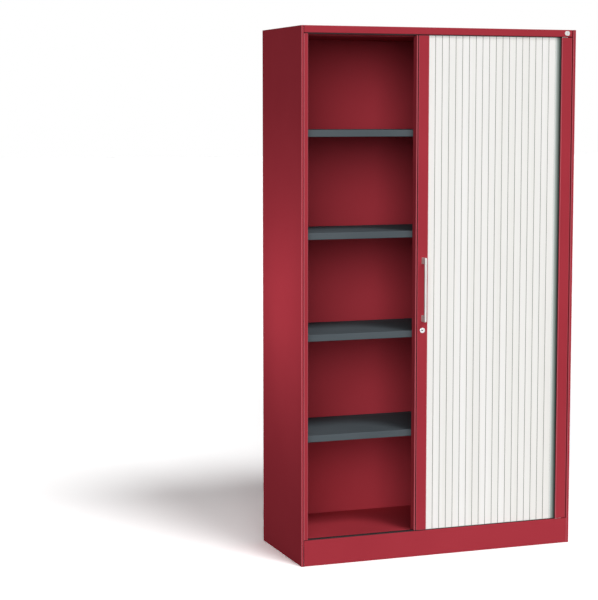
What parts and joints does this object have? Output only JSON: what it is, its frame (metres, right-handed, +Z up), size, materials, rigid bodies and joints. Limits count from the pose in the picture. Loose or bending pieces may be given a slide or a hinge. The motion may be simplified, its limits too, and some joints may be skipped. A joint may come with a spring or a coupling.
{
  "type": "roll front cabinet",
  "caption": "Tall sheet steel tool cabinet with folded shelves, closed by a sideways rolling slatted curtain with a bow handle and a cylinder lock.",
  "frame": {"origin": "on the floor, under the centre of the bounding box, bow handle included", "axes": "+Z up; +Y from the front to the back; +X to the right as seen from the front"},
  "size_m": [1.11, 0.4654, 1.98],
  "materials": {
    "red_enamel": "fine-textured powder coat, dark red, on sheet steel",
    "lead_enamel": "the same dark red powder coat on the aluminium lead bar",
    "anthracite_enamel": "fine-textured powder coat, anthracite, on sheet steel",
    "slat_plastic": "off-white extruded plastic, satin",
    "track_plastic": "black extruded plastic",
    "glide_plastic": "black moulded nylon",
    "zinc": "bright zinc-plated steel",
    "chrome_plate": "polished chrome plate on zinc casting",
    "nickel_satin": "satin nickel plate"
  },
  "bodies": {
    "cabinet": {"side_panel_left": "red_enamel", "side_panel_right": "red_enamel", "base_plate": "red_enamel", "head_plate": "red_enamel", "plinth_front": "red_enamel", "top_panel": "red_enamel", "back_panel": "red_enamel", "left_strip": "red_enamel", "right_strip": "red_enamel", "inner_side_left": "red_enamel", "inner_side_right": "red_enamel", "inner_back_panel": "red_enamel", "floor_panel": "red_enamel", "ceiling_panel": "red_enamel", "shelf_1": "anthracite_enamel", "shelf_2": "anthracite_enamel", "shelf_3": "anthracite_enamel", "shelf_4": "anthracite_enamel", "corner_slats_front": "slat_plastic", "side_slats": "slat_plastic", "corner_slats_rear": "slat_plastic", "back_slats": "slat_plastic", "tail_bar": "slat_plastic", "bottom_track": "track_plastic", "top_track": "track_plastic", "shelf_clips": "zinc", "striker_plate": "zinc", "blank_badge": "nickel_satin"},
    "curtain": {"slat_01": "slat_plastic", "slat_02": "slat_plastic", "slat_03": "slat_plastic", "slat_04": "slat_plastic", "slat_05": "slat_plastic", "slat_06": "slat_plastic", "slat_07": "slat_plastic", "slat_08": "slat_plastic", "slat_09": "slat_plastic", "slat_10": "slat_plastic", "slat_11": "slat_plastic", "slat_12": "slat_plastic", "slat_13": "slat_plastic", "slat_14": "slat_plastic", "slat_15": "slat_plastic", "slat_16": "slat_plastic", "slat_17": "slat_plastic", "slat_18": "slat_plastic", "slat_19": "slat_plastic"},
    "lead_bar": {"lead_bar": "lead_enamel", "glide_bottom": "glide_plastic", "glide_top": "glide_plastic", "bow_handle": "nickel_satin", "handle_screws": "zinc", "lock_housing": "chrome_plate", "lock_nut": "zinc"},
    "lock": {"lock_plug": "chrome_plate", "lock_cam": "zinc", "cam_screw": "zinc"}
  },
  "joints": [
    {"name": "shutter_draw_closed", "type": "slide", "parent": "cabinet", "child": "curtain", "axis": [1, 0, 0], "range_m": [-0.4265, 0]},
    {"name": "shutter_draw_open", "type": "slide", "parent": "curtain", "child": "lead_bar", "axis": [1, 0, 0], "range_m": [0, 0.516], "deforming": ["slat_01", "slat_02", "slat_03", "slat_04", "slat_05", "slat_06", "slat_07", "slat_08", "slat_09", "slat_10", "slat_11", "slat_12", "slat_13", "slat_14", "slat_15", "slat_16", "slat_17", "slat_18", "slat_19"]},
    {"name": "lock_turn", "type": "hinge", "parent": "lead_bar", "child": "lock", "pos_m": [-0.07455, -0.20225, 0.859], "axis": [0, 1, 0], "range_deg": [0, 90]}
  ]
}
